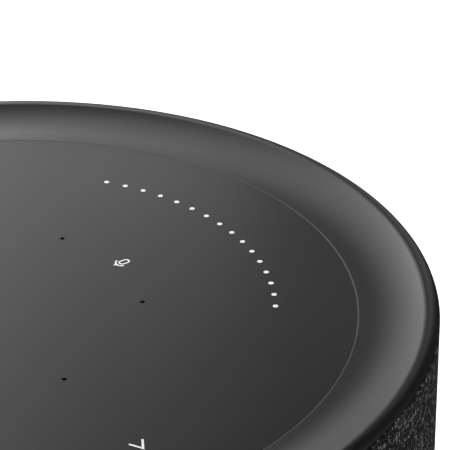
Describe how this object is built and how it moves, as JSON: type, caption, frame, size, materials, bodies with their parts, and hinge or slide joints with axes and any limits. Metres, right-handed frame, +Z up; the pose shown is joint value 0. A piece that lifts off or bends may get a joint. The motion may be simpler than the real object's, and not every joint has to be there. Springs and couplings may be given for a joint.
{
  "type": "smart home hub",
  "caption": "Squat round voice and radio hub: dished rim, touch panel with an arc of lights and microphone ports, knitted sleeve, plinth with a power inlet.",
  "frame": {"origin": "centre of the foot ring's underside, on the surface that the hub stands on", "axes": "+Z up along the body's axis, +Y towards the back with the arc of lights and the power inlet, +X to the user's right"},
  "size_m": [0.1826, 0.1826, 0.13],
  "materials": {
    "panel_plastic": "fine matte touch surface",
    "rim_plastic": "satin moulded",
    "plinth_plastic": "fine spark-eroded texture",
    "knit_fabric": "heathered acoustic knit",
    "foot_silicone": "matte",
    "surround_rubber": "matte",
    "inner_plastic": "moulded",
    "button_plastic": "satin",
    "light_guide_clear": "clear, lit white",
    "polyimide_film": "amber film",
    "circuit_board": "solder mask",
    "tin_plate": "tin plated",
    "heat_sink_aluminium": "extruded",
    "bright_steel": "zinc plated",
    "ferrite": "sintered",
    "contact_brass": "bright",
    "pressed_paper": "pressed pulp",
    "dome_cloth": "doped cloth"
  },
  "bodies": {
    "shell": {"touch_panel": "panel_plastic", "top_rim": "rim_plastic", "base_housing": "plinth_plastic", "base_plate": "plinth_plastic", "fabric_sleeve": "knit_fabric", "foot_ring": "foot_silicone", "mic_seal_ring": "foot_silicone", "woofer_surround": "surround_rubber", "power_lead": "surround_rubber", "top_tray": "inner_plastic", "enclosure_lid": "inner_plastic", "speaker_enclosure": "inner_plastic", "grille_cage": "inner_plastic", "sound_deflector": "inner_plastic", "power_inlet": "inner_plastic", "tact_switch": "inner_plastic", "tweeter_frame_1": "inner_plastic", "tweeter_frame_2": "inner_plastic", "tweeter_frame_3": "inner_plastic", "led_light_guide": "light_guide_clear", "touch_film": "polyimide_film", "ribbon_cable": "polyimide_film", "antenna_left": "polyimide_film", "antenna_right": "polyimide_film", "led_board": "circuit_board", "mic_board": "circuit_board", "main_board": "circuit_board", "power_board": "circuit_board", "processor_shield": "tin_plate", "radio_shield": "tin_plate", "heat_sink": "heat_sink_aluminium", "support_post_1": "heat_sink_aluminium", "support_post_2": "heat_sink_aluminium", "support_post_3": "heat_sink_aluminium", "rim_screw_1": "bright_steel", "rim_screw_2": "bright_steel", "rim_screw_3": "bright_steel", "base_screw_1": "bright_steel", "base_screw_2": "bright_steel", "base_screw_3": "bright_steel", "woofer_basket": "bright_steel", "woofer_top_plate": "bright_steel", "woofer_yoke": "bright_steel", "woofer_magnet": "ferrite", "tweeter_magnet_1": "ferrite", "tweeter_magnet_2": "ferrite", "tweeter_magnet_3": "ferrite", "inlet_pin_left": "contact_brass", "inlet_pin_right": "contact_brass", "woofer_spider": "dome_cloth"},
    "woofer_cone": {"woofer_cone": "pressed_paper", "woofer_dust_cap": "pressed_paper", "woofer_voice_coil": "contact_brass"},
    "tweeter_dome_1": {"tweeter_dome_1": "dome_cloth"},
    "tweeter_dome_2": {"tweeter_dome_2": "dome_cloth"},
    "tweeter_dome_3": {"tweeter_dome_3": "dome_cloth"},
    "pairing_button": {"pairing_button": "button_plastic", "switch_plunger": "contact_brass"}
  },
  "joints": [
    {"name": "woofer_stroke", "type": "slide", "parent": "shell", "child": "woofer_cone", "axis": [0, 0, 1], "range_m": [-0.003, 0.003], "stiffness_N_per_m": 1200, "deforming": ["woofer_surround", "woofer_spider"]},
    {"name": "tweeter_stroke_1", "type": "slide", "parent": "shell", "child": "tweeter_dome_1", "axis": [0, -1, 0], "range_m": [-0.0004, 0.0004], "stiffness_N_per_m": 800},
    {"name": "tweeter_stroke_2", "type": "slide", "parent": "shell", "child": "tweeter_dome_2", "axis": [0.866, 0.5, 0], "range_m": [-0.0004, 0.0004], "stiffness_N_per_m": 800},
    {"name": "tweeter_stroke_3", "type": "slide", "parent": "shell", "child": "tweeter_dome_3", "axis": [-0.866, 0.5, 0], "range_m": [-0.0004, 0.0004], "stiffness_N_per_m": 800},
    {"name": "pairing_press", "type": "slide", "parent": "shell", "child": "pairing_button", "axis": [0.3746, -0.9272, 0], "range_m": [0, 0.0008], "stiffness_N_per_m": 600, "springref_m": -0.001}
  ]
}
